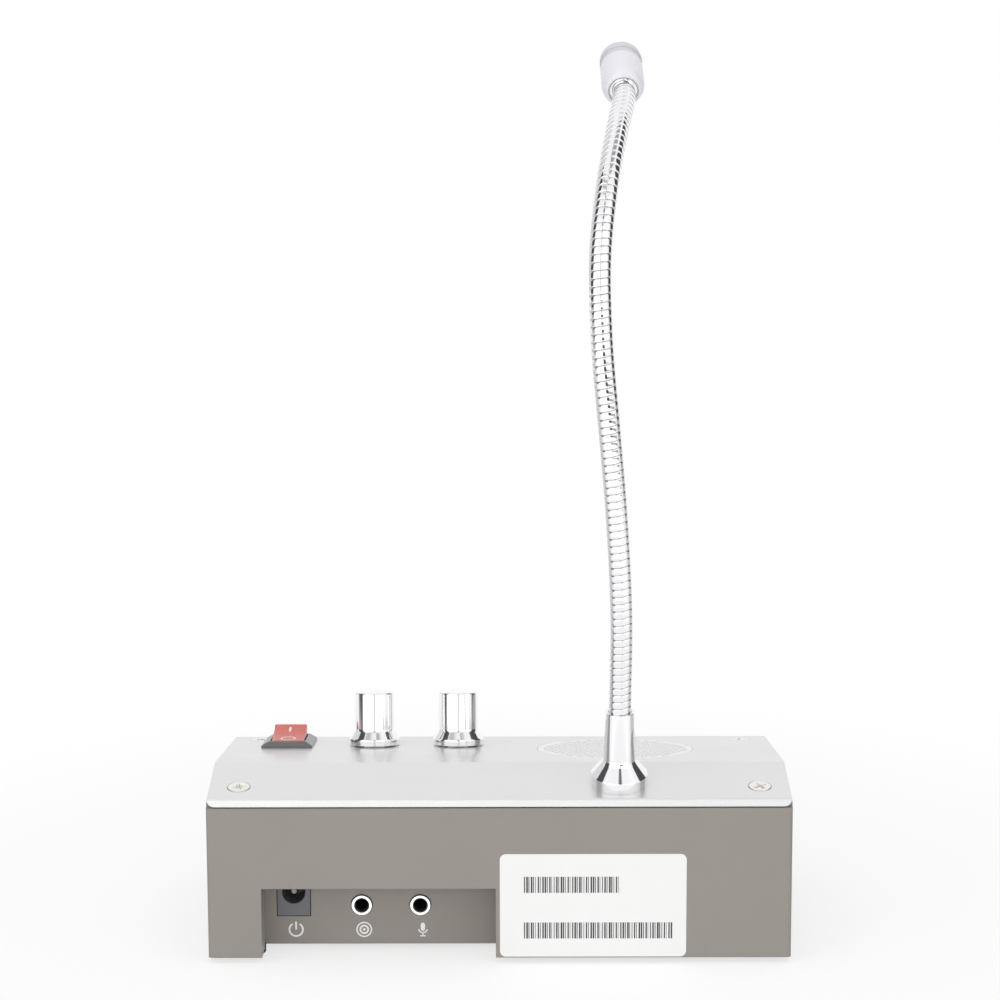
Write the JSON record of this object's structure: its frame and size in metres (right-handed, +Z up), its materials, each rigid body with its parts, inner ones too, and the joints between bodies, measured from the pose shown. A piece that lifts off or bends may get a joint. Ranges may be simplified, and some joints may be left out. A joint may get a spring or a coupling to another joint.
{
  "type": "teller window intercom",
  "caption": "Desk-top teller window intercom: wedge-topped case, red rocker switch, two volume knobs, round speaker grille and a microphone on a flexible neck.",
  "frame": {"origin": "centre of the case's underside, in the plane of the desk that the four feet rest on", "axes": "+Z up, +Y from the glass side (sockets, neck) to the teller's side, +X to the right seen from the glass side"},
  "size_m": [0.158, 0.0904, 0.2466],
  "materials": {
    "case_grey": "warm grey moulded plastic, fine texture",
    "cover_aluminium": "satin anodised",
    "screw_steel": "bright zinc",
    "foot_rubber": "matt",
    "label_white": "white film",
    "board_green": "solder mask",
    "socket_black": "moulded",
    "inlet_grey": "moulded",
    "chip_black": "moulded",
    "sink_black": "black anodised",
    "can_blue": "shrink sleeve",
    "header_white": "moulded",
    "rocker_red": "moulded",
    "contact_brass": "bright",
    "spring_steel": "drawn wire",
    "control_steel": "zinc plated",
    "insert_black": "moulded",
    "knob_aluminium": "polished, turned",
    "grille_silver": "perforated, satin",
    "foam_black": "closed-cell foam",
    "basket_steel": "zinc plated",
    "magnet_ferrite": "sintered ferrite",
    "coil_copper": "copper wire",
    "cone_paper": "pulp cone",
    "surround_cloth": "doped cloth",
    "neck_chrome": "bright",
    "mic_pearl": "pearl satin",
    "capsule_metal": "plain",
    "lead_grey": "PVC sleeve"
  },
  "bodies": {
    "case": {"amplifier_chip": "chip_black", "base_housing": "case_grey", "board_chips": "chip_black", "board_screws": "screw_steel", "capacitors": "can_blue", "clamp_screws": "screw_steel", "cover_screws": "screw_steel", "dc_inlet_body": "inlet_grey", "dc_inlet_pin": "contact_brass", "dust_cap": "cone_paper", "heat_sink": "sink_black", "hookup_leads": "lead_grey", "jack_rings": "screw_steel", "main_board": "board_green", "microphone_jack": "socket_black", "microphone_lead": "lead_grey", "neck_collar": "neck_chrome", "neck_link_1": "neck_chrome", "neck_nut": "screw_steel", "pot_cases": "control_steel", "pot_lugs": "contact_brass", "pot_nuts": "screw_steel", "rear_label": "label_white", "rubber_feet": "foot_rubber", "speaker_clamp": "basket_steel", "speaker_cone": "cone_paper", "speaker_frame": "basket_steel", "speaker_gasket": "foam_black", "speaker_grille": "grille_silver", "speaker_jack": "socket_black", "speaker_magnet": "magnet_ferrite", "speaker_surround": "surround_cloth", "speaker_yoke": "basket_steel", "switch_housing": "socket_black", "switch_tags": "contact_brass", "top_cover": "cover_aluminium", "voice_coil": "coil_copper", "wire_headers": "header_white"},
    "rocker": {"switch_rocker": "rocker_red", "switch_plunger": "header_white", "switch_spring": "spring_steel"},
    "contact_blade": {"switch_blade": "contact_brass"},
    "talk_control": {"talk_knob": "knob_aluminium", "talk_knob_insert": "insert_black", "talk_pot_shaft": "control_steel"},
    "listen_control": {"listen_knob": "knob_aluminium", "listen_knob_insert": "insert_black", "listen_pot_shaft": "control_steel"},
    "neck_2": {"neck_link_2": "neck_chrome"},
    "neck_3": {"neck_link_3": "neck_chrome"},
    "neck_4": {"neck_link_4": "neck_chrome"},
    "neck_5": {"neck_link_5": "neck_chrome"},
    "neck_6": {"neck_link_6": "neck_chrome"},
    "neck_7": {"neck_link_7": "neck_chrome"},
    "microphone_head": {"neck_link_8": "neck_chrome", "mic_ferrule": "neck_chrome", "mic_housing": "mic_pearl", "mic_cap": "mic_pearl", "mic_capsule": "capsule_metal"}
  },
  "joints": [
    {"name": "rocker_tilt", "type": "hinge", "parent": "case", "child": "rocker", "pos_m": [-0.0614, 0.02297, 0.04393], "axis": [1, 0, 0], "range_deg": [-26, 0]},
    {"name": "contact_rock", "type": "hinge", "parent": "case", "child": "contact_blade", "pos_m": [-0.0614, 0.02182, 0.03481], "axis": [1, 0, 0], "range_deg": [0, 14]},
    {"name": "talk_turn", "type": "hinge", "parent": "case", "child": "talk_control", "pos_m": [-0.0364, 0.0201, 0.04531], "axis": [0, 0.1258, 0.9921], "range_deg": [-150, 150]},
    {"name": "listen_turn", "type": "hinge", "parent": "case", "child": "listen_control", "pos_m": [-0.0121, 0.0201, 0.04531], "axis": [0, 0.1258, 0.9921], "range_deg": [-150, 150]},
    {"name": "neck_tilt_1", "type": "hinge", "parent": "case", "child": "neck_2", "pos_m": [0.0326, -0.04012, 0.09618], "axis": [-1, 0, 0], "range_deg": [-18, 18]},
    {"name": "neck_side_2", "type": "hinge", "parent": "neck_2", "child": "neck_3", "pos_m": [0.03122, -0.04333, 0.12239], "axis": [0, 0.9941, 0.1089], "range_deg": [-18, 18]},
    {"name": "neck_tilt_3", "type": "hinge", "parent": "neck_3", "child": "neck_4", "pos_m": [0.02905, -0.04571, 0.14704], "axis": [-1, 0, 0], "range_deg": [-18, 18]},
    {"name": "neck_side_4", "type": "hinge", "parent": "neck_4", "child": "neck_5", "pos_m": [0.02702, -0.04631, 0.17019], "axis": [0, 0.9995, -0.0306], "range_deg": [-18, 18]},
    {"name": "neck_tilt_5", "type": "hinge", "parent": "neck_5", "child": "neck_6", "pos_m": [0.02665, -0.04443, 0.19175], "axis": [-1, 0, 0], "range_deg": [-18, 18]},
    {"name": "neck_side_6", "type": "hinge", "parent": "neck_6", "child": "neck_7", "pos_m": [0.02874, -0.03696, 0.21024], "axis": [0, 0.839, -0.5441], "range_deg": [-18, 18]},
    {"name": "neck_tilt_7", "type": "hinge", "parent": "neck_7", "child": "microphone_head", "pos_m": [0.03163, -0.0243, 0.22335], "axis": [-1, 0, 0], "range_deg": [-18, 18]}
  ],
  "couplings": [
    {"joint": "contact_rock", "follows": "rocker_tilt", "ratio": -0.53846}
  ]
}
